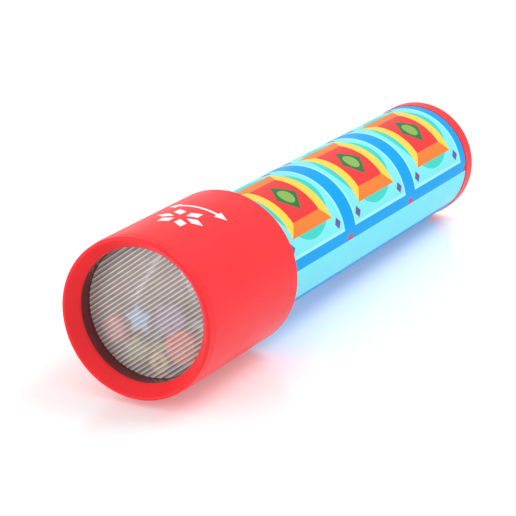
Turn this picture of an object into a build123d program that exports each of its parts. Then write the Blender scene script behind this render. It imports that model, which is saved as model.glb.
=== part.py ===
from build123d import *
import os
from math import cos, pi, radians, sin, sqrt, tan

# A turning-cap kaleidoscope, lying on its side. Millimetres.
# The optical axis is Y, the turning cap points to -Y, +Z is up.
# The origin is on the axis, halfway along the object.

# Overall size
overall_length = 227.0
cap_radius = 28.0
cap_length = 62.3
tube_radius = 22.5
eyepiece_radius = 22.8
eyepiece_band = 6.7

# Stations along the axis that the rest is built from
front = -overall_length / 2
rear = overall_length / 2
cap_rear = front + cap_length
band_front = rear - eyepiece_band

# Turning cap: a tapered lip that slopes in to the sight opening, and wider bores behind it
lip_start = front + 4.0
lip_tip_radius = 27.6
lip_tip_ahead = 1.21
lip_tip_rounding = 0.75
lip_edge = front + 4.4
lip_edge_rounding = 1.0
cap_rear_rounding = 1.0
sight_radius = 23.15
stack_radius = 24.8
bearing_radius = 25.4
stack_seat = front + 4.85
window_seat = front + 10.3
bearing_front = front + 23.4

# Chamber stack, held between the seat behind the lip and the retaining ring
fit_gap = 0.05
plate_radius = stack_radius - 0.1
spacer_inner_radius = 23.2
window_thickness = 1.2
rib_height = 0.55
rib_pitch = 1.45
rib_width = 1.15
rib_angle = 37.5
rib_field_radius = 23.0
chamber_depth = 7.9
chamber_inner_radius = 23.3
inner_disc_thickness = 1.2
retainer_length = 2.5
retainer_inner_radius = 22.9

# Collar that the cap turns on, and the ring that keeps the cap on it
axial_play = 0.4
running_gap = 0.06
collar_inner_radius = 22.35
collar_core_radius = 23.7
collar_flange = 3.0
bearing_ring_length = 6.2
bearing_ring_inner_radius = 22.6

# Card tube and its printed wrap
tube_wall = 1.5
wrap_thickness = 0.18
wrap_gap = 0.02
tube_outer_radius = tube_radius - wrap_thickness - wrap_gap
tube_inner_radius = tube_outer_radius - tube_wall
tube_front = front + 21.3
tube_rear = band_front - 0.1

# Eyepiece cap and its window
plug_length = 4.4
plug_radius = tube_inner_radius - 0.1
plug_wall = 2.1
eye_hole_radius = 7.0
eye_window_radius = 9.5
eye_window_thickness = 1.0

# Mirror prism: three strips about the axis, in two holders and two bands of tape
mirror_count = 3
mirror_inradius = 9.6
mirror_thickness = 1.6
mirror_front = tube_front + 0.4
mirror_length = 192.4
mirror_rear = mirror_front + mirror_length
mirror_width = 2 * sqrt(3) * mirror_inradius - 0.1
holder_radius = tube_inner_radius - 0.1
holder_length = 5.8
holder_wall = 1.5
holder_sight_radius = 8.8
holder_gap = 0.15
tape_gap = 0.03
tape_thickness = 0.2
tape_width = 14.0
tape_inset = 22.0

# Loose chips: three layers, one behind the other, that tumble round the axis
chip_thickness = 2.0
chip_edge = 0.25
layer_pitch = 2.55
window_front = window_seat + fit_gap
chamber_front = window_front + window_thickness + fit_gap
chamber_rear = chamber_front + chamber_depth
disc_front = chamber_rear + fit_gap
retainer_front = disc_front + inner_disc_thickness + fit_gap
collar_front = retainer_front + retainer_length + axial_play
bearing_ring_front = cap_rear - bearing_ring_length
collar_rear = bearing_ring_front - axial_play


def turned(*corners):
    """Solid of revolution about the optical axis. A corner is (radius, y) or (radius, y, rounding)."""
    points = [corner[:2] for corner in corners]
    roundings = [corner[2] if len(corner) > 2 else 0 for corner in corners]
    outline = FilletPolyline(*points, radius=roundings, close=True)
    return revolve(make_face(outline), Axis.Y)


def ring(inner, outer, start, end, rounding=0):
    """Plain ring or, with an inner radius of 0, a plain disc."""
    if inner == 0:
        return turned((0, start), (outer, start, rounding), (outer, end, rounding), (0, end))
    corners = ((inner, start), (outer, start), (outer, end), (inner, end))
    return turned(*((radius, y, rounding) for radius, y in corners))


def along_axis(section, start, end):
    """Extrudes a section, drawn as seen from the front, from one station to another."""
    placed = Plane(origin=(0, end, 0), x_dir=(1, 0, 0), z_dir=(0, -1, 0)) * section
    return extrude(placed, end - start)


def cap_shell():
    """One-piece moulded cap. A faint edge round it marks where the lip starts to taper."""
    return turned(
        (cap_radius, lip_start),
        (cap_radius, cap_rear, cap_rear_rounding),
        (bearing_radius, cap_rear, 0.3),
        (bearing_radius, bearing_front),
        (stack_radius, bearing_front),
        (stack_radius, stack_seat),
        (sight_radius, stack_seat),
        (sight_radius, lip_edge, lip_edge_rounding),
        (lip_tip_radius, front - lip_tip_ahead, lip_tip_rounding),
    )


def window_spacer():
    """Dark sleeve that holds the ribbed window back from the lip."""
    return ring(spacer_inner_radius, plate_radius, stack_seat + fit_gap, window_seat, 0.1)


def ribbed_window():
    """Clear disc whose front carries straight half-round ribs, inside a flat rim."""
    crest = window_front - rib_height
    back = window_front + window_thickness
    count = int(2 * rib_field_radius / rib_pitch)
    half = rib_width / 2
    path = [(-2 * cap_radius, window_front)]
    outline = Curve()
    for rib in range(count):
        middle = (rib - (count - 1) / 2) * rib_pitch
        foot = (middle - half, window_front)
        other_foot = (middle + half, window_front)
        outline += Line(path[-1], foot)
        outline += ThreePointArc(foot, (middle, crest), other_foot)
        path.append(other_foot)
    corner = (2 * cap_radius, window_front)
    outline += Polyline(path[-1], corner, (2 * cap_radius, back), (-2 * cap_radius, back), path[0])
    comb = extrude(make_face(outline), 2 * cap_radius, both=True)
    envelope = turned(
        (0, crest),
        (rib_field_radius, crest),
        (rib_field_radius, window_front),
        (plate_radius, window_front, 0.15),
        (plate_radius, back, 0.15),
        (0, back),
    )
    return Rot(0, 90 - rib_angle, 0) * comb & envelope


def chamber_ring():
    """Spacer that keeps the two clear discs apart and holds the chips."""
    return ring(chamber_inner_radius, plate_radius, chamber_front, chamber_rear, 0.2)


def inner_disc():
    return ring(0, plate_radius, disc_front, disc_front + inner_disc_thickness, 0.15)


def retaining_ring():
    """Snaps in behind the stack. Its bevel leads the tube in."""
    end = retainer_front + retainer_length
    return turned(
        (retainer_inner_radius, retainer_front),
        (stack_radius - fit_gap, retainer_front),
        (stack_radius - fit_gap, end, 0.2),
        (retainer_inner_radius + 0.8, end),
        (retainer_inner_radius, end - 0.8),
    )


def turning_collar():
    """Spool glued on the tube. Its two flanges carry the cap's bore."""
    flange = bearing_radius - running_gap
    return turned(
        (collar_inner_radius, collar_front),
        (flange, collar_front, 0.3),
        (flange, collar_front + collar_flange),
        (collar_core_radius, collar_front + collar_flange, 0.8),
        (collar_core_radius, collar_rear - collar_flange, 0.8),
        (flange, collar_rear - collar_flange),
        (flange, collar_rear, 0.3),
        (collar_inner_radius, collar_rear),
    )


def bearing_ring():
    """Pressed into the cap behind the collar. It runs on the tube and keeps the cap on."""
    outer = bearing_radius - fit_gap
    return turned(
        (bearing_ring_inner_radius, bearing_ring_front),
        (outer, bearing_ring_front, 0.3),
        (outer, cap_rear - 0.4, 0.3),
        (bearing_ring_inner_radius + 0.9, cap_rear - 0.4),
        (bearing_ring_inner_radius, cap_rear - 1.3),
    )


def main_tube():
    return ring(tube_inner_radius, tube_outer_radius, tube_front, tube_rear)


def printed_wrap():
    """Laminated paper from under the bearing ring to the eyepiece."""
    return ring(tube_radius - wrap_thickness, tube_radius, collar_rear + 0.1, tube_rear)


def eyepiece_cap():
    """Plug cap with a banded rim, a shallow dish round the eye hole and a boss for the window."""
    floor = rear - 2.8
    boss_front = rear - 4.8
    boss_radius = eye_window_radius + 1.9
    plug_front = band_front - plug_length
    return turned(
        (eyepiece_radius, band_front, 0.2),
        (eyepiece_radius, rear, 1.2),
        (18.5, rear, 0.6),
        (eye_hole_radius + 2.0, rear - 1.4, 1.5),
        (eye_hole_radius, rear - 1.4, 0.4),
        (eye_hole_radius, rear - 2.6),
        (eye_window_radius + 0.1, rear - 2.6),
        (eye_window_radius + 0.1, boss_front),
        (boss_radius, boss_front),
        (boss_radius, floor),
        (plug_radius - plug_wall, floor),
        (plug_radius - plug_wall, plug_front),
        (plug_radius, plug_front, 0.4),
        (plug_radius, band_front),
    )


def eyepiece_window():
    back = rear - 2.6 - fit_gap
    return ring(0, eye_window_radius, back - eye_window_thickness, back, 0.1)


def prism_outline(clearance):
    """Six-sided outline round the three strips, with the given clearance."""
    reach = mirror_inradius + mirror_thickness + clearance
    half = mirror_width / 2 + clearance * tan(radians(30))
    corners = []
    for strip in range(mirror_count):
        turn = radians(-90 + strip * 360 / mirror_count)
        for side in (-half, half):
            x = reach * cos(turn) - side * sin(turn)
            corners.append((x, reach * sin(turn) + side * cos(turn)))
    return make_face(Polyline(*corners, close=True))


def mirror_strip(strip):
    """One flat strip. Strip 0 lies at the bottom, and the others follow anticlockwise."""
    offset = mirror_inradius + mirror_thickness / 2
    section = Pos(0, -offset) * Rectangle(mirror_width, mirror_thickness)
    return along_axis(Rot(0, 0, strip * 360 / mirror_count) * section, mirror_front, mirror_rear)


def tape_band(start):
    """Band of tape round the prism."""
    section = prism_outline(tape_gap + tape_thickness) - prism_outline(tape_gap)
    return along_axis(section, start, start + tape_width)


def front_mirror_holder():
    """Foam disc at the tube's mouth, with the prism flush in it."""
    start = mirror_front - 0.3
    section = Circle(holder_radius) - prism_outline(holder_gap)
    return along_axis(section, start, start + holder_length)


def rear_mirror_holder():
    """Foam disc against the eyepiece plug: a pocket for the prism, and a round sight hole."""
    end = band_front - plug_length - 0.2
    pocket_end = end - holder_wall
    socket = Circle(holder_radius) - prism_outline(holder_gap)
    wall = Circle(holder_radius) - Circle(holder_sight_radius)
    return along_axis(socket, end - holder_length, pocket_end) + along_axis(wall, pocket_end, end)


def petals(count, radius):
    """Flower outline: a middle disc and a round petal at each turn."""
    flower = Circle(radius * 0.5)
    for petal in range(count):
        turn = 2 * pi * petal / count
        centre = (0.62 * radius * cos(turn), 0.62 * radius * sin(turn))
        flower += Pos(*centre) * Circle(0.38 * radius)
    return fillet(flower.vertices(), 0.1 * radius)


def star(count, radius):
    """Star outline with blunt points."""
    corners = []
    for tip in range(2 * count):
        reach = radius if tip % 2 == 0 else 0.56 * radius
        turn = pi / 2 + pi * tip / count
        corners.append((reach * cos(turn), reach * sin(turn)))
    outline = make_face(Polyline(*corners, close=True))
    return fillet(outline.vertices(), 0.09 * radius)


def polygon(count, radius):
    outline = RegularPolygon(radius, count)
    return fillet(outline.vertices(), 0.14 * radius)


def bead(radius):
    """Washer-like bead with a hole in its middle."""
    return Circle(radius) - Circle(0.36 * radius)


# Layer, outline, x and z of the middle, and turn in degrees, as seen from the front
chips = {
    "chip_star_blue": (0, star(5, 5.6), -5.6, -4.6, 8),
    "chip_disc_red": (0, Circle(6.1), 10.6, -11.8, 0),
    "chip_flower_green": (0, petals(5, 4.7), -6.4, -15.4, 20),
    "chip_disc_pink": (0, Circle(4.3), -15.6, -9.6, 0),
    "chip_bead_yellow": (0, bead(3.6), 2.2, -18.4, 0),
    "chip_flower_purple": (1, petals(6, 6.2), 4.6, -3.6, 10),
    "chip_hexagon_rose": (1, polygon(6, 5.0), -14.6, -10.4, 12),
    "chip_triangle_lime": (1, polygon(3, 5.8), -0.6, -15.6, 34),
    "chip_square_orange": (1, polygon(4, 4.8), 13.8, -10.8, 30),
    "chip_hexagon_teal": (2, polygon(6, 5.2), -3.6, -9.4, 0),
    "chip_triangle_magenta": (2, polygon(3, 5.4), 6.4, -15.0, 75),
    "chip_disc_amber": (2, Circle(4.3), -13.6, -11.6, 0),
    "chip_bead_clear": (2, bead(4.4), 13.6, -7.6, 0),
}


def chip(name):
    """Translucent chip, flat on both faces, with softened edges."""
    layer, outline, x, z, turn = chips[name]
    start = chamber_front + (chamber_depth - 2 * layer_pitch - chip_thickness) / 2 + layer * layer_pitch
    solid = along_axis(Pos(x, z) * Rot(0, 0, turn) * outline, start, start + chip_thickness)
    faces = solid.faces().sort_by(Axis.Y)
    return chamfer(faces[0].outer_wire().edges() + faces[-1].outer_wire().edges(), chip_edge)


def sub_parts():
    """Every sub-part by its node name."""
    parts = {
        "cap_shell": cap_shell(),
        "window_spacer": window_spacer(),
        "ribbed_window": ribbed_window(),
        "chamber_ring": chamber_ring(),
        "inner_disc": inner_disc(),
        "retaining_ring": retaining_ring(),
        "bearing_ring": bearing_ring(),
        "turning_collar": turning_collar(),
        "main_tube": main_tube(),
        "printed_wrap": printed_wrap(),
        "eyepiece_cap": eyepiece_cap(),
        "eyepiece_window": eyepiece_window(),
        "front_mirror_holder": front_mirror_holder(),
        "rear_mirror_holder": rear_mirror_holder(),
        "tape_band_front": tape_band(mirror_front + tape_inset),
        "tape_band_rear": tape_band(mirror_rear - tape_inset - tape_width),
    }
    for strip, place in enumerate(("bottom", "right", "left")):
        parts["mirror_" + place] = mirror_strip(strip)
    for name in chips:
        parts[name] = chip(name)
    return parts


os.makedirs("parts", exist_ok=True)
for node, solid in sub_parts().items():
    export_step(solid, "parts/" + node + ".step")
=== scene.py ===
from math import ceil, cos, pi, radians, sin

import bpy
from mathutils import Matrix, Vector
from mathutils.geometry import delaunay_2d_cdt


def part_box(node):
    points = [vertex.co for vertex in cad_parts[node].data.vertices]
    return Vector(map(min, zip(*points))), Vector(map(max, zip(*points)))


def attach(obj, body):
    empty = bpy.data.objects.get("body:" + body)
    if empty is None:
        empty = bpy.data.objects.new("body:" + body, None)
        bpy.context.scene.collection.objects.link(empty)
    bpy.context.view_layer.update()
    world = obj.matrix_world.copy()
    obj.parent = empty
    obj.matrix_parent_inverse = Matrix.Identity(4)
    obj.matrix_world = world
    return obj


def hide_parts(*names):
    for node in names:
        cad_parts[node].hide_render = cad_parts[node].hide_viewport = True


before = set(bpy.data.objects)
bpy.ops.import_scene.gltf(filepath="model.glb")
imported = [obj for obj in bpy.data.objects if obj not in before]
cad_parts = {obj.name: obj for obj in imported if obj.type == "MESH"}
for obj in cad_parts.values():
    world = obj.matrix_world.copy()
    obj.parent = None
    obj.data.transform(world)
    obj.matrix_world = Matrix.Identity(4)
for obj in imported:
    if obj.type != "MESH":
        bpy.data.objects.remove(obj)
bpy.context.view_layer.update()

MM = 0.001


# ---------------------------------------------------------------- colours and shader nodes

def srgb(red, green, blue, alpha=1.0):
    """Linear colour of an sRGB triple that runs from 0 to 255."""
    def linear(value):
        value /= 255
        return value / 12.92 if value <= 0.04045 else ((value + 0.055) / 1.055) ** 2.4
    return (linear(red), linear(green), linear(blue), alpha)


def new_material(name, base, roughness, **sockets):
    """A material with its Principled shader set. Returns it, its tree and the shader."""
    made = bpy.data.materials.new(name)
    made.use_nodes = True
    tree = made.node_tree
    shader = tree.nodes["Principled BSDF"]
    shader.inputs["Base Color"].default_value = base
    shader.inputs["Roughness"].default_value = roughness
    for socket, value in sockets.items():
        shader.inputs[socket.replace("_", " ")].default_value = value
    return made, tree, shader


def node(tree, kind, inputs=None, **properties):
    """A node with its properties set, and its inputs set or linked."""
    made = tree.nodes.new(kind)
    for name, value in properties.items():
        setattr(made, name, value)
    for name, value in (inputs or {}).items():
        if isinstance(value, bpy.types.NodeSocket):
            tree.links.new(value, made.inputs[name])
        else:
            made.inputs[name].default_value = value
    return made


def row_point(tree):
    """The point in the row frame, in metres. Every piece has its origin there."""
    return node(tree, "ShaderNodeTexCoord").outputs["Object"]


def noise(tree, size, detail=2.0, stretch=(1, 1, 1)):
    """Noise from 0 to 1 whose features are about size metres across, or more where stretched."""
    scaled = node(tree, "ShaderNodeVectorMath", {0: row_point(tree), 1: [1 / s for s in stretch]},
                  operation="MULTIPLY")
    made = node(tree, "ShaderNodeTexNoise", {"Vector": scaled.outputs[0], "Scale": 1 / size,
                                             "Detail": detail})
    return made.outputs["Fac"]


def spread(tree, value, low, high):
    """Maps the middle of a noise's range onto low to high."""
    return node(tree, "ShaderNodeMapRange",
                {"Value": value, "From Min": 0.2, "From Max": 0.8, "To Min": low, "To Max": high},
                interpolation_type="SMOOTHSTEP").outputs[0]


def shaded(tree, colour, factor):
    """A colour, or a colour socket, times a number socket."""
    return node(tree, "ShaderNodeVectorMath", {0: colour if isinstance(colour, bpy.types.NodeSocket)
                                               else colour[:3], "Scale": factor},
                operation="SCALE").outputs[0]


def blended(tree, factor, first, second):
    """Mixes two colours, given as sockets or as tuples, by a number socket."""
    return node(tree, "ShaderNodeMix", {0: factor, 6: first, 7: second},
                data_type="RGBA").outputs[2]


def bump(tree, shader, heights, strength=1.0):
    """Bumps a shader with a stack of (height socket, depth in metres)."""
    normal = None
    for height, depth in heights:
        inputs = {"Height": height, "Distance": depth, "Strength": strength}
        if normal is not None:
            inputs["Normal"] = normal
        normal = node(tree, "ShaderNodeBump", inputs).outputs[0]
    tree.links.new(normal, shader.inputs["Normal"])


def repaint(made, *names):
    """Gives CAD nodes a material in all their slots."""
    for name in names:
        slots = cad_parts[name].data.materials
        slots.clear()
        slots.append(made)


# ---------------------------------------------------------------- materials

def red_plastic():
    """Satin moulded plastic: a faint skin texture, uneven gloss and soft handling marks."""
    base = (0.89, 0.032, 0.04, 1)
    made, tree, shader = new_material("red_plastic_skin", base, 0.33, Specular_IOR_Level=0.11)
    tint = spread(tree, noise(tree, 0.018, 3), 0.95, 1.04)
    tree.links.new(shaded(tree, base, tint), shader.inputs["Base Color"])
    gloss = spread(tree, noise(tree, 0.008, 3, (1, 2.5, 1)), 0.29, 0.37)
    tree.links.new(gloss, shader.inputs["Roughness"])
    bump(tree, shader, [(noise(tree, 0.0012, 2), 0.0000015), (noise(tree, 0.014, 1), 0.00002)])
    return made


def white_plastic():
    """Plain off-white moulding with a faint grain."""
    base = (0.78, 0.78, 0.76, 1)
    made, tree, shader = new_material("white_plastic_skin", base, 0.42)
    tree.links.new(shaded(tree, base, spread(tree, noise(tree, 0.01), 0.94, 1.0)),
                   shader.inputs["Base Color"])
    tree.links.new(spread(tree, noise(tree, 0.003, 4), 0.36, 0.5), shader.inputs["Roughness"])
    bump(tree, shader, [(noise(tree, 0.0006), 0.000008)])
    return made


def ramp(tree, value, stops):
    """Number that follows the stops, given as (position from 0 to 1, number)."""
    made = node(tree, "ShaderNodeValToRGB", {"Fac": value})
    elements = made.color_ramp.elements
    while len(elements) < len(stops):
        elements.new(0.5)
    for element, (position, number) in zip(elements, stops):
        element.position = position
        element.color = (number, number, number, 1)
    return made.outputs["Color"]


# The window's ribs are shaded by depth, measured from their crests to a point inside the plate. Their
# whiter, nearly opaque crests are a painted highlight of the overhead light, and the haze deeper down is the
# plate's own cloudiness
rib_shading_depth = 1.25 * MM
rib_haze_and_highlight = [(0.0, 0.88), (0.012, 0.75), (0.035, 0.5), (0.4, 0.42), (0.7, 0.06)]
rib_highlight_to_warmth = [(0.0, 0.0), (0.012, 0.2), (0.03, 1.0)]
crest_highlight_colour = (0.86, 0.82, 0.79, 1)
flank_colour = (0.80, 0.735, 0.70, 1)


def ribbed_plastic_painted_highlights():
    """Hazy clear moulding. Its rib crests are painted whiter and more opaque as a painted highlight, and the
    plate behind them shows the chips.
    """
    made, tree, shader = new_material("ribbed_plastic_painted_highlights", (0.5, 0.5, 0.5, 1), 0.3, IOR=1.2,
                                      Transmission_Weight=0.2)
    along = node(tree, "ShaderNodeSeparateXYZ", {0: row_point(tree)}).outputs["Y"]
    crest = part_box("ribbed_window")[0].y
    depth = node(tree, "ShaderNodeMapRange", {"Value": along, "From Min": crest,
                                              "From Max": crest + rib_shading_depth}).outputs[0]
    # Painted highlight: the crests are nearly opaque, fading to the plate's clear haze deeper down
    haze_and_highlight = ramp(tree, depth, rib_haze_and_highlight)
    cloud = spread(tree, noise(tree, 0.006, 3), 0.9, 1.1)
    tree.links.new(node(tree, "ShaderNodeMath", {0: haze_and_highlight, 1: cloud}, operation="MULTIPLY").outputs[0],
                   shader.inputs["Alpha"])
    # Painted highlight: whitish crests, warmer flanks
    tree.links.new(blended(tree, ramp(tree, depth, rib_highlight_to_warmth), crest_highlight_colour, flank_colour),
                   shader.inputs["Base Color"])
    tree.links.new(spread(tree, noise(tree, 0.004, 3), 0.29, 0.38), shader.inputs["Roughness"])
    bump(tree, shader, [(noise(tree, 0.0012, 2), 0.000003)])
    return made


def painted_shade_plastic():
    """Glossy dark tinted plastic with faint swirls. Its dark colour is painted shade: it stands in for the
    shadow on the wall of the cap's recess.
    """
    # Painted shade: a dark red-brown matched to the shaded wall of the cap's recess
    base = (0.15, 0.026, 0.03, 1)
    made, tree, shader = new_material("painted_shade_dark_plastic", base, 0.22, Specular_IOR_Level=0.4)
    tree.links.new(shaded(tree, base, spread(tree, noise(tree, 0.005, 4, (1, 0.4, 1)), 0.8, 1.15)),
                   shader.inputs["Base Color"])
    tree.links.new(spread(tree, noise(tree, 0.003, 3), 0.15, 0.26), shader.inputs["Roughness"])
    bump(tree, shader, [(noise(tree, 0.0008, 2), 0.000002)])
    return made


def chamber_plastic():
    """Thin clear sheet, too thin to bend what is behind it, with a little dust."""
    made, tree, shader = new_material("chamber_clear_plastic", (0.75, 0.74, 0.72, 1), 0.05)
    tree.links.new(spread(tree, noise(tree, 0.001, 5), 0.2, 0.34), shader.inputs["Alpha"])
    tree.links.new(spread(tree, noise(tree, 0.005, 4), 0.03, 0.10), shader.inputs["Roughness"])
    return made


def clear_plastic():
    """Polished sheet with faint smears and dust."""
    made, tree, shader = new_material("clear_plastic", (0.97, 0.98, 0.98, 1), 0.03, IOR=1.49,
                                      Transmission_Weight=1.0)
    tree.links.new(spread(tree, noise(tree, 0.005, 4), 0.02, 0.07), shader.inputs["Roughness"])
    return made


def mirror():
    """Silvered strip, with faint ripples and tiny specks in the silvering."""
    base = (0.90, 0.915, 0.92, 1)
    made, tree, shader = new_material("silvering", base, 0.03, Metallic=1.0)
    tree.links.new(shaded(tree, base, spread(tree, noise(tree, 0.0008, 6), 0.93, 1.0)),
                   shader.inputs["Base Color"])
    tree.links.new(spread(tree, noise(tree, 0.004, 3), 0.02, 0.06), shader.inputs["Roughness"])
    bump(tree, shader, [(noise(tree, 0.02, 1), 0.00002)])
    return made


def card():
    """Grey-brown spiral-wound card with fibres."""
    base = srgb(176, 155, 126)
    made, tree, shader = new_material("wound_card", base, 0.9, Specular_IOR_Level=0.2)
    fibres = noise(tree, 0.0007, 6, (1, 6, 1))
    colour = blended(tree, spread(tree, fibres, 0, 1), srgb(150, 128, 98), srgb(196, 178, 148))
    tree.links.new(colour, shader.inputs["Base Color"])
    bump(tree, shader, [(fibres, 0.00006)])
    return made


def foam():
    """Closed-cell foam: a skin of small round cells."""
    base = srgb(208, 203, 198)
    made, tree, shader = new_material("closed_cell_foam", base, 0.95, Specular_IOR_Level=0.15)
    cells = node(tree, "ShaderNodeTexVoronoi", {"Vector": row_point(tree), "Scale": 1 / 0.0009})
    tree.links.new(blended(tree, cells.outputs["Distance"], srgb(214, 209, 204), srgb(176, 170, 164)),
                   shader.inputs["Base Color"])
    bump(tree, shader, [(cells.outputs["Distance"], -0.00015)])
    return made


def tape():
    """Paper tape with fine crepe across its length."""
    base = srgb(222, 212, 186)
    made, tree, shader = new_material("paper_tape", base, 0.6)
    crepe = noise(tree, 0.0006, 3, (1, 8, 1))
    tree.links.new(shaded(tree, base, spread(tree, crepe, 0.9, 1.04)), shader.inputs["Base Color"])
    bump(tree, shader, [(crepe, 0.00005)])
    return made


def chip_plastic(name, colour):
    """Tinted see-through plastic, a little cloudy inside."""
    made, tree, shader = new_material(name + "_tint", colour, 0.1, IOR=1.49,
                                      Transmission_Weight=0.15)
    tree.links.new(shaded(tree, colour, spread(tree, noise(tree, 0.002, 3), 0.88, 1.06)),
                   shader.inputs["Base Color"])
    tree.links.new(spread(tree, noise(tree, 0.0015, 3), 0.06, 0.2), shader.inputs["Roughness"])
    return made


def printed_paper():
    """Ink on paper under a thin gloss film. The ink's colour is stored on each face."""
    made, tree, shader = new_material("printed_paper_film", (1, 1, 1, 1), 0.35,
                                      Specular_IOR_Level=0.06)
    ink = node(tree, "ShaderNodeAttribute", attribute_name="ink").outputs["Color"]
    grain = spread(tree, noise(tree, 0.0006, 2), 0.97, 1.03)
    fade = spread(tree, noise(tree, 0.03, 2), 0.96, 1.03)
    tree.links.new(shaded(tree, shaded(tree, ink, grain), fade), shader.inputs["Base Color"])
    tree.links.new(spread(tree, noise(tree, 0.006, 3), 0.29, 0.39), shader.inputs["Roughness"])
    bump(tree, shader, [(noise(tree, 0.0012, 2), 0.0000015), (noise(tree, 0.014, 1), 0.00002)])
    return made


def white_ink():
    """Opaque white ink, a little uneven."""
    base = srgb(252, 250, 250)
    made, tree, shader = new_material("white_pad_print", base, 0.38)
    tree.links.new(shaded(tree, base, spread(tree, noise(tree, 0.0008, 4), 0.95, 1.0)),
                   shader.inputs["Base Color"])
    bump(tree, shader, [(noise(tree, 0.0004), 0.000005)])
    return made


def floor_paint():
    """Glossy white sweep, lit a little from below."""
    base = (0.93, 0.93, 0.93, 1)
    made, tree, shader = new_material("white_sweep", base, 0.2, Specular_IOR_Level=0.7,
                                      Emission_Color=(0.93, 0.95, 1, 1), Emission_Strength=0.17)
    tree.links.new(shaded(tree, base, spread(tree, noise(tree, 0.25, 3), 0.99, 1.005)),
                   shader.inputs["Base Color"])
    return made


# ---------------------------------------------------------------- flat outlines, wrapped round the axis

def circle(radius, steps=48):
    return [(radius * cos(2 * pi * i / steps), radius * sin(2 * pi * i / steps))
            for i in range(steps)]


def square(half):
    return [(-half, -half), (half, -half), (half, half), (-half, half)]


def diamond(half):
    return [(-half, 0), (0, -half), (half, 0), (0, half)]


def moved(points, u, w, turn=0.0):
    """An outline turned about its origin, then shifted."""
    c, s = cos(turn), sin(turn)
    return [(u + a * c - b * s, w + a * s + b * c) for a, b in points]


def inside(point, outline):
    """Whether a point is inside an outline, by counting the sides it crosses."""
    u, w = point
    within = False
    for (u0, w0), (u1, w1) in zip(outline, outline[1:] + outline[:1]):
        if (w0 > w) != (w1 > w) and u < u0 + (w - w0) / (w1 - w0) * (u1 - u0):
            within = not within
    return within


weld_distance = 1e-5


def triangles(outlines, low, high, cut):
    """Splits a flat rectangle along the outlines, and along lines of constant w at most cut apart."""
    points = []
    edges = []

    def line(run, closed):
        first = len(points)
        points.extend(Vector(p) for p in run)
        count = len(run)
        sides = count if closed else count - 1
        edges.extend((first + i, first + (i + 1) % count) for i in range(sides))

    line([low, (high[0], low[1]), high, (low[0], high[1])], True)
    rows = ceil((high[1] - low[1]) / cut)
    for row in range(1, rows):
        w = low[1] + (high[1] - low[1]) * row / rows
        line([(low[0], w), (high[0], w)], False)
    for outline in outlines:
        line(outline, True)
    places, _, faces, *_ = delaunay_2d_cdt(points, edges, [], 0, weld_distance)
    kept = []
    for face in faces:
        u = sum(places[i][0] for i in face) / 3
        w = sum(places[i][1] for i in face) / 3
        if low[0] < u < high[0] and low[1] < w < high[1]:
            kept.append((tuple(face), (u, w)))
    return [tuple(p) for p in places], kept


def sheet_mesh(name, places, faces, colours, place, thickness):
    """Closed sheet of even thickness. place turns a flat u, w and a depth into a point and a normal."""
    used = sorted({i for face in faces for i in face})
    index = {old: new for new, old in enumerate(used)}
    count = len(used)
    outer = [place(*places[i], 0) for i in used]
    inner = [place(*places[i], thickness) for i in used]
    sides = {}
    for face in faces:
        for a, b in zip(face, face[1:] + face[:1]):
            sides[(index[a], index[b])] = True
    rim = [(a, b) for a, b in sides if (b, a) not in sides]
    polygons = [tuple(index[i] for i in reversed(face)) for face in faces]
    polygons += [tuple(index[i] + count for i in face) for face in faces]
    polygons += [(a, b, b + count, a + count) for a, b in rim]
    mesh = bpy.data.meshes.new(name)
    mesh.from_pydata([p for p, _ in outer + inner], [], polygons)
    mesh.polygons.foreach_set("use_smooth", [True] * len(polygons))
    normals = []
    for i, polygon in enumerate(polygons):
        if i < len(faces):
            normals += [outer[v][1] for v in polygon]
        elif i < 2 * len(faces):
            normals += [-outer[v - count][1] for v in polygon]
        else:
            normals += [mesh.polygons[i].normal] * 4
    mesh.normals_split_custom_set([tuple(n) for n in normals])
    if colours:
        ink = mesh.color_attributes.new("ink", "FLOAT_COLOR", "CORNER")
        paper = srgb(240, 240, 236)
        values = []
        for i, polygon in enumerate(polygons):
            values += list(colours[i] if i < len(faces) else paper) * len(polygon)
        ink.data.foreach_set("color", values)
    made = bpy.data.objects.new(name, mesh)
    bpy.context.scene.collection.objects.link(made)
    return made


# ---------------------------------------------------------------- the printed wrap

wrap_low, wrap_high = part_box("printed_wrap")
tube_radius = wrap_high.x
wrap_start, wrap_end = wrap_low.y / MM, wrap_high.y / MM
girth = 2 * pi * tube_radius / MM

# Sizes of the sheet and its print, in millimetres: u runs along the axis to the rear, w round the tube.
# Tiles of nested squares lie in three columns and two rows, and a plain strip fills part of the rest.
wrap_sheet_thickness = 0.16
longest_step_w = 1.0
tile_u, tile_w = 52.5, 52.5
tiles_along, tiles_round = 3, 2
first_tile_u = -25.0
tile_turn = radians(25)
frame_half = 22.0
frame_line = 1.2
disc_radius = 18.5
border_half = 15.0
block_half = 10.0
centre_half = 7.0
centre_dot = 3.5
corner_middle = 17.9
corner_half = 2.2
crossing_dot = 2.2
plain_strip_w = 14.0
seam_lift = 0.07
seam_run = 3.0
wrap_top_w = tile_w / 2 + girth - tiles_round * tile_w
wrap_bottom_w = wrap_top_w - girth

# How much brighter than its own colour the scene's light makes the print
print_brightening = 1.12


def ink_colour(red, green, blue):
    """Ink that looks like this sRGB triple in the scene's light."""
    return tuple(value / print_brightening for value in srgb(red, green, blue)[:3]) + (1.0,)


INKS = {
    "blue": ink_colour(0, 168, 244),
    "outline": ink_colour(166, 248, 252),
    "cyan": ink_colour(133, 240, 246),
    "teal": ink_colour(68, 219, 205),
    "yellow": ink_colour(253, 221, 82),
    "orange": ink_colour(246, 135, 58),
    "red": ink_colour(242, 62, 64),
    "light_green": ink_colour(142, 188, 92),
    "dark_green": ink_colour(52, 122, 70),
    "purple": ink_colour(112, 92, 164),
    "rose": ink_colour(205, 84, 122),
    "strip": ink_colour(128, 240, 255),
}


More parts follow.
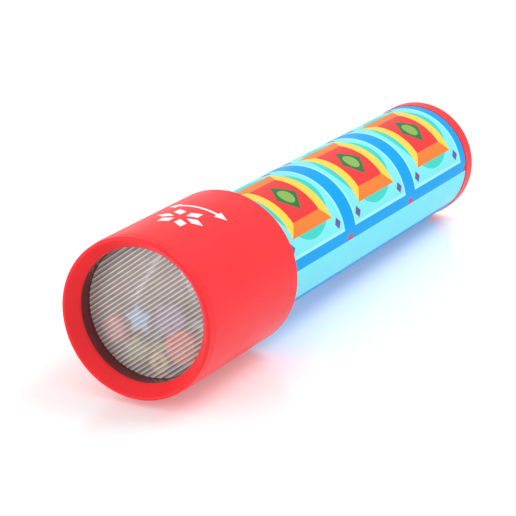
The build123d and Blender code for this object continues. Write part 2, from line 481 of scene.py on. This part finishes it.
def tile_shapes():
    """The shapes of one tile about its middle, the last on top: (ink's name, outline)."""
    shapes = [("outline", square(frame_half)), ("cyan", square(frame_half - frame_line)),
              ("teal", circle(disc_radius))]
    side = [(block_half, -block_half), (border_half, -border_half), (border_half, border_half),
            (block_half, block_half)]
    for quarter in range(4):
        name = "orange" if quarter % 2 else "yellow"
        shapes.append((name, moved(side, 0, 0, quarter * pi / 2)))
    shapes += [("red", square(block_half)), ("dark_green", diamond(centre_half)),
               ("light_green", circle(centre_dot))]
    for along, across in ((1, 1), (-1, 1), (-1, -1), (1, -1)):
        corner = moved(diamond(corner_half), along * corner_middle, across * corner_middle)
        shapes.append(("purple", corner))
    return shapes


def crossing_shapes():
    """A dot at the place where the bands between tiles cross."""
    return [("rose", circle(crossing_dot))]


def wrap_shapes():
    """Every shape of the wrap, placed."""
    placed = []
    for along in range(tiles_along):
        for across in range(tiles_round):
            u, w = first_tile_u + along * tile_u, -across * tile_w
            placed += [(name, moved(outline, u, w)) for name, outline in tile_shapes()]
    for along in range(tiles_along + 1):
        for across in range(tiles_round + 1):
            u, w = first_tile_u + (along - 0.5) * tile_u, (0.5 - across) * tile_w
            placed += [(name, moved(outline, u, w)) for name, outline in crossing_shapes()]
    return placed


def on_tube(u, w, depth):
    """Point and normal of the wrap. Its last run rises a little, to stand proud of its start at the seam."""
    lift = seam_lift * min(1, max(0, 1 - (wrap_top_w - w) / seam_run))
    turn = tile_turn + w * MM / tube_radius
    outward = Vector((sin(turn), 0, cos(turn)))
    point = outward * (tube_radius + (lift - depth) * MM)
    point.y = u * MM
    return point, outward


def bounding_box(outline):
    us, ws = zip(*outline)
    return min(us), max(us), min(ws), max(ws)


def printed_wrap():
    """The wrap as one closed sheet, its print cut into the mesh."""
    shapes = wrap_shapes()
    boxes = [bounding_box(outline) for _, outline in shapes]
    strip_from, strip_to = tile_w / 2, tile_w / 2 + plain_strip_w
    strip = [(wrap_start, strip_from), (wrap_end, strip_from),
             (wrap_end, strip_to), (wrap_start, strip_to)]
    places, kept = triangles([outline for _, outline in shapes] + [strip],
                             (wrap_start, wrap_bottom_w), (wrap_end, wrap_top_w), longest_step_w)
    colours = []
    for _, (u, w) in kept:
        chosen = "strip" if strip_from < w < strip_to else "blue"
        if chosen == "blue":
            for (name, outline), (u0, u1, w0, w1) in zip(shapes, boxes):
                if u0 < u < u1 and w0 < w < w1 and inside((u, w), outline):
                    chosen = name
        colours.append(INKS[chosen])
    made = sheet_mesh("printed_wrap_sheet", places, [face for face, _ in kept], colours, on_tube,
                      wrap_sheet_thickness)
    made.data.materials.append(printed_paper())
    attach(made, "barrel")
    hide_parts("printed_wrap")


# ---------------------------------------------------------------- the mark on the cap

cap_low, cap_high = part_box("cap_shell")
cap_radius = cap_high.x
mark_middle_y = -0.0831
mark_turn = radians(3.4)
mark_height = 0.02
mark_sink = 0.01
mark_ring_u = -3.4
mark_field = ((-14, -13), (14, 13))
ring_diamond = [(2.4, 0), (5.5, 2.1), (8.8, 0), (5.5, -2.1)]
arrow_half = [(8.9, 11.4), (6.4, 7.4), (8.25, 7.4), (8.25, 0), (9.55, 0), (9.55, 7.4), (11.4, 7.4)]


def cap_mark():
    """Generic white print: a ring of six diamonds, and a two-headed arrow for the way the cap turns."""
    shapes = [moved(moved(ring_diamond, 0, 0, i * pi / 3 + pi / 6), mark_ring_u, 0)
              for i in range(6)]
    shapes.append(arrow_half)
    shapes.append([(u, -w) for u, w in reversed(arrow_half)])
    places, kept = triangles(shapes, *mark_field, longest_step_w)
    faces = [face for face, middle in kept if any(inside(middle, shape) for shape in shapes)]

    def on_cap(u, w, depth):
        turn = mark_turn + w * MM / cap_radius
        outward = Vector((sin(turn), 0, cos(turn)))
        point = outward * (cap_radius + (mark_height - depth) * MM)
        point.y = mark_middle_y + u * MM
        return point, outward

    made = sheet_mesh("cap_mark", places, faces, None, on_cap, mark_height + mark_sink)
    made.data.materials.append(white_ink())
    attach(made, "turning_cap")


# ---------------------------------------------------------------- CAD nodes

CHIP_COLOURS = {
    "chip_star_blue": srgb(150, 218, 255),
    "chip_disc_red": srgb(232, 104, 84),
    "chip_flower_green": srgb(160, 172, 124),
    "chip_disc_pink": srgb(232, 140, 156),
    "chip_bead_yellow": srgb(212, 192, 118),
    "chip_flower_purple": srgb(134, 128, 190),
    "chip_hexagon_rose": srgb(225, 110, 120),
    "chip_triangle_lime": srgb(170, 185, 90),
    "chip_square_orange": srgb(235, 140, 80),
    "chip_hexagon_teal": srgb(90, 150, 150),
    "chip_triangle_magenta": srgb(200, 90, 150),
    "chip_disc_amber": srgb(230, 165, 80),
    "chip_bead_clear": srgb(225, 235, 240),
}


def finish_cad_nodes():
    """Gives each CAD node that stays visible its material."""
    repaint(red_plastic(), "cap_shell", "bearing_ring", "eyepiece_cap")
    repaint(white_plastic(), "turning_collar", "retaining_ring")
    # The window's whiter rib crests are a painted highlight
    repaint(ribbed_plastic_painted_highlights(), "ribbed_window")
    # The spacer's dark colour is painted shade in the cap's recess
    repaint(painted_shade_plastic(), "window_spacer")
    repaint(chamber_plastic(), "chamber_ring", "inner_disc")
    repaint(clear_plastic(), "eyepiece_window")
    repaint(mirror(), "mirror_bottom", "mirror_right", "mirror_left")
    repaint(card(), "main_tube")
    repaint(foam(), "front_mirror_holder", "rear_mirror_holder")
    repaint(tape(), "tape_band_front", "tape_band_rear")
    for name, colour in CHIP_COLOURS.items():
        repaint(chip_plastic(name, colour), name)


# ---------------------------------------------------------------- floor, light and camera

cap_rear_rounding = 1.0 * MM
# The band meets the floor this far ahead of its rear face, just clear of its rear rounding
band_touch_inset = 1.5 * MM
floor_half = 3.0


def resting_floor():
    """Pale floor under the cap's rear edge and the eyepiece's band, which the object leans on."""
    rear_low, rear_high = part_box("eyepiece_cap")
    front_touch = Vector((0, cap_high.y - cap_rear_rounding, cap_low.z))
    rear_touch = Vector((0, rear_high.y - band_touch_inset, rear_low.z))
    along = (rear_touch - front_touch).normalized()
    corners = [front_touch + Vector((1, 0, 0)) * floor_half * a + along * floor_half * b
               for a, b in ((-1, -1), (1, -1), (1, 1), (-1, 1))]
    mesh = bpy.data.meshes.new("floor")
    mesh.from_pydata(corners, [], [(0, 1, 2, 3)])
    made = bpy.data.objects.new("floor", mesh)
    bpy.context.scene.collection.objects.link(made)
    mesh.materials.append(floor_paint())


def area_light(name, place, target, size, power):
    data = bpy.data.lights.new(name, "AREA")
    data.shape = "DISK"
    data.size = size
    data.energy = power
    made = bpy.data.objects.new(name, data)
    made.location = place
    made.rotation_euler = (Vector(target) - Vector(place)).to_track_quat("-Z", "Y").to_euler()
    bpy.context.scene.collection.objects.link(made)


def studio_light():
    """High-key tent: a white surround, a soft light high at the back and a low one at the front left."""
    world = bpy.data.worlds.new("tent")
    bpy.context.scene.world = world
    world.use_nodes = True
    background = world.node_tree.nodes["Background"]
    background.inputs["Color"].default_value = (1, 1, 1, 1)
    background.inputs["Strength"].default_value = 0.86
    area_light("key", place=(0.45, 0.35, 1.0), target=(0, 0, 0), size=0.6, power=5.0)
    area_light("front_left", place=(-0.7, -1.0, 0.16), target=(0, -0.1, 0), size=0.5, power=4.5)


def set_camera():
    """Long lens, from the front right and a little above."""
    target = Vector((0.0141, -0.05461, 0.0067))
    azimuth, elevation, distance = radians(27.57), radians(18.06), 0.8
    camera_up = Vector((0, -0.0271, 0.9996))
    back = Vector((sin(azimuth) * cos(elevation), -cos(azimuth) * cos(elevation),
                   sin(elevation))).normalized()
    right = camera_up.cross(back).normalized()
    data = bpy.data.cameras.new("camera")
    data.lens = 163.74
    data.sensor_width = 36
    data.clip_start = 0.01
    made = bpy.data.objects.new("camera", data)
    turn = Matrix((right, back.cross(right), back)).transposed().to_4x4()
    made.matrix_world = Matrix.Translation(target + back * distance) @ turn
    bpy.context.scene.collection.objects.link(made)
    bpy.context.scene.camera = made


finish_cad_nodes()
printed_wrap()
cap_mark()
resting_floor()
studio_light()
set_camera()
bpy.context.scene.view_settings.view_transform = "Standard"
